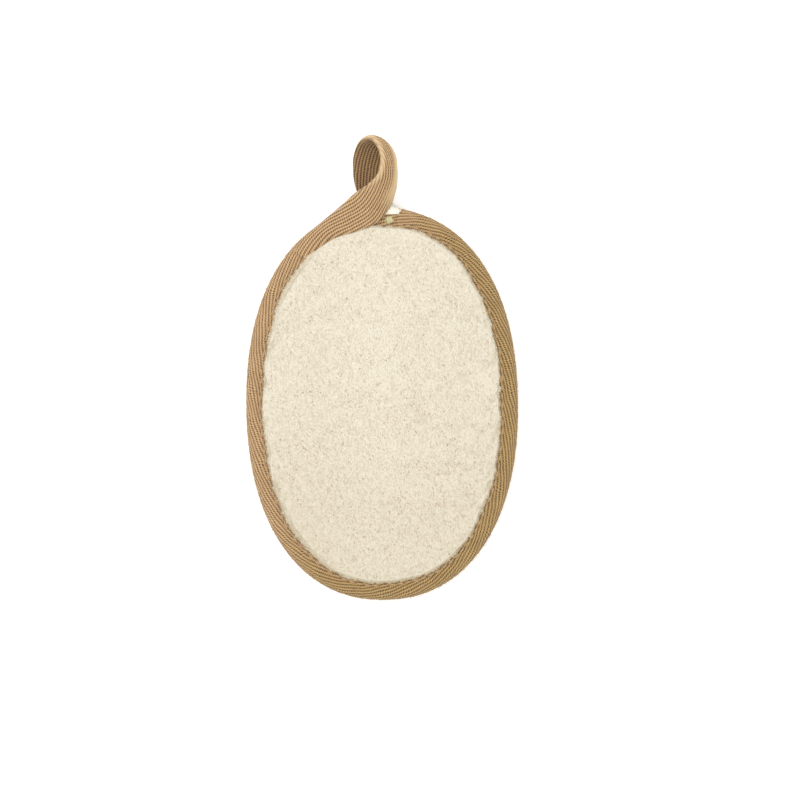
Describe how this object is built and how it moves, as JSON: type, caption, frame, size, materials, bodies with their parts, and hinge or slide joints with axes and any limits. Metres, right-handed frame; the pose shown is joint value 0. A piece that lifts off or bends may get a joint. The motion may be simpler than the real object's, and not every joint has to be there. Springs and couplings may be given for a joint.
{
  "type": "oval loofah bath pad",
  "caption": "Flat oval scrubbing pad with a terry face and a loofah back, bound round the edge with twill tape that ends in a hanging loop.",
  "frame": {"origin": "centre of the oval, on the flat of the loofah back that the pad lies on", "axes": "+Z out of the terry face, +Y along the pad's length towards the hanging loop, +X to the right seen from above the terry face"},
  "size_m": [0.0862, 0.1473, 0.0168],
  "materials": {
    "terry": "soft cream terry with a short pile and small tan flecks",
    "loofah": "dry straw-coloured plant fibre, matt",
    "tape": "tan cotton twill tape with slanting ribs, matt",
    "thread": "tan sewing thread"
  },
  "bodies": {
    "root": {"terry_face": "terry", "loofah_body": "loofah", "twill_tape": "tape", "seam_thread_front": "thread", "seam_thread_back": "thread"}
  },
  "joints": []
}
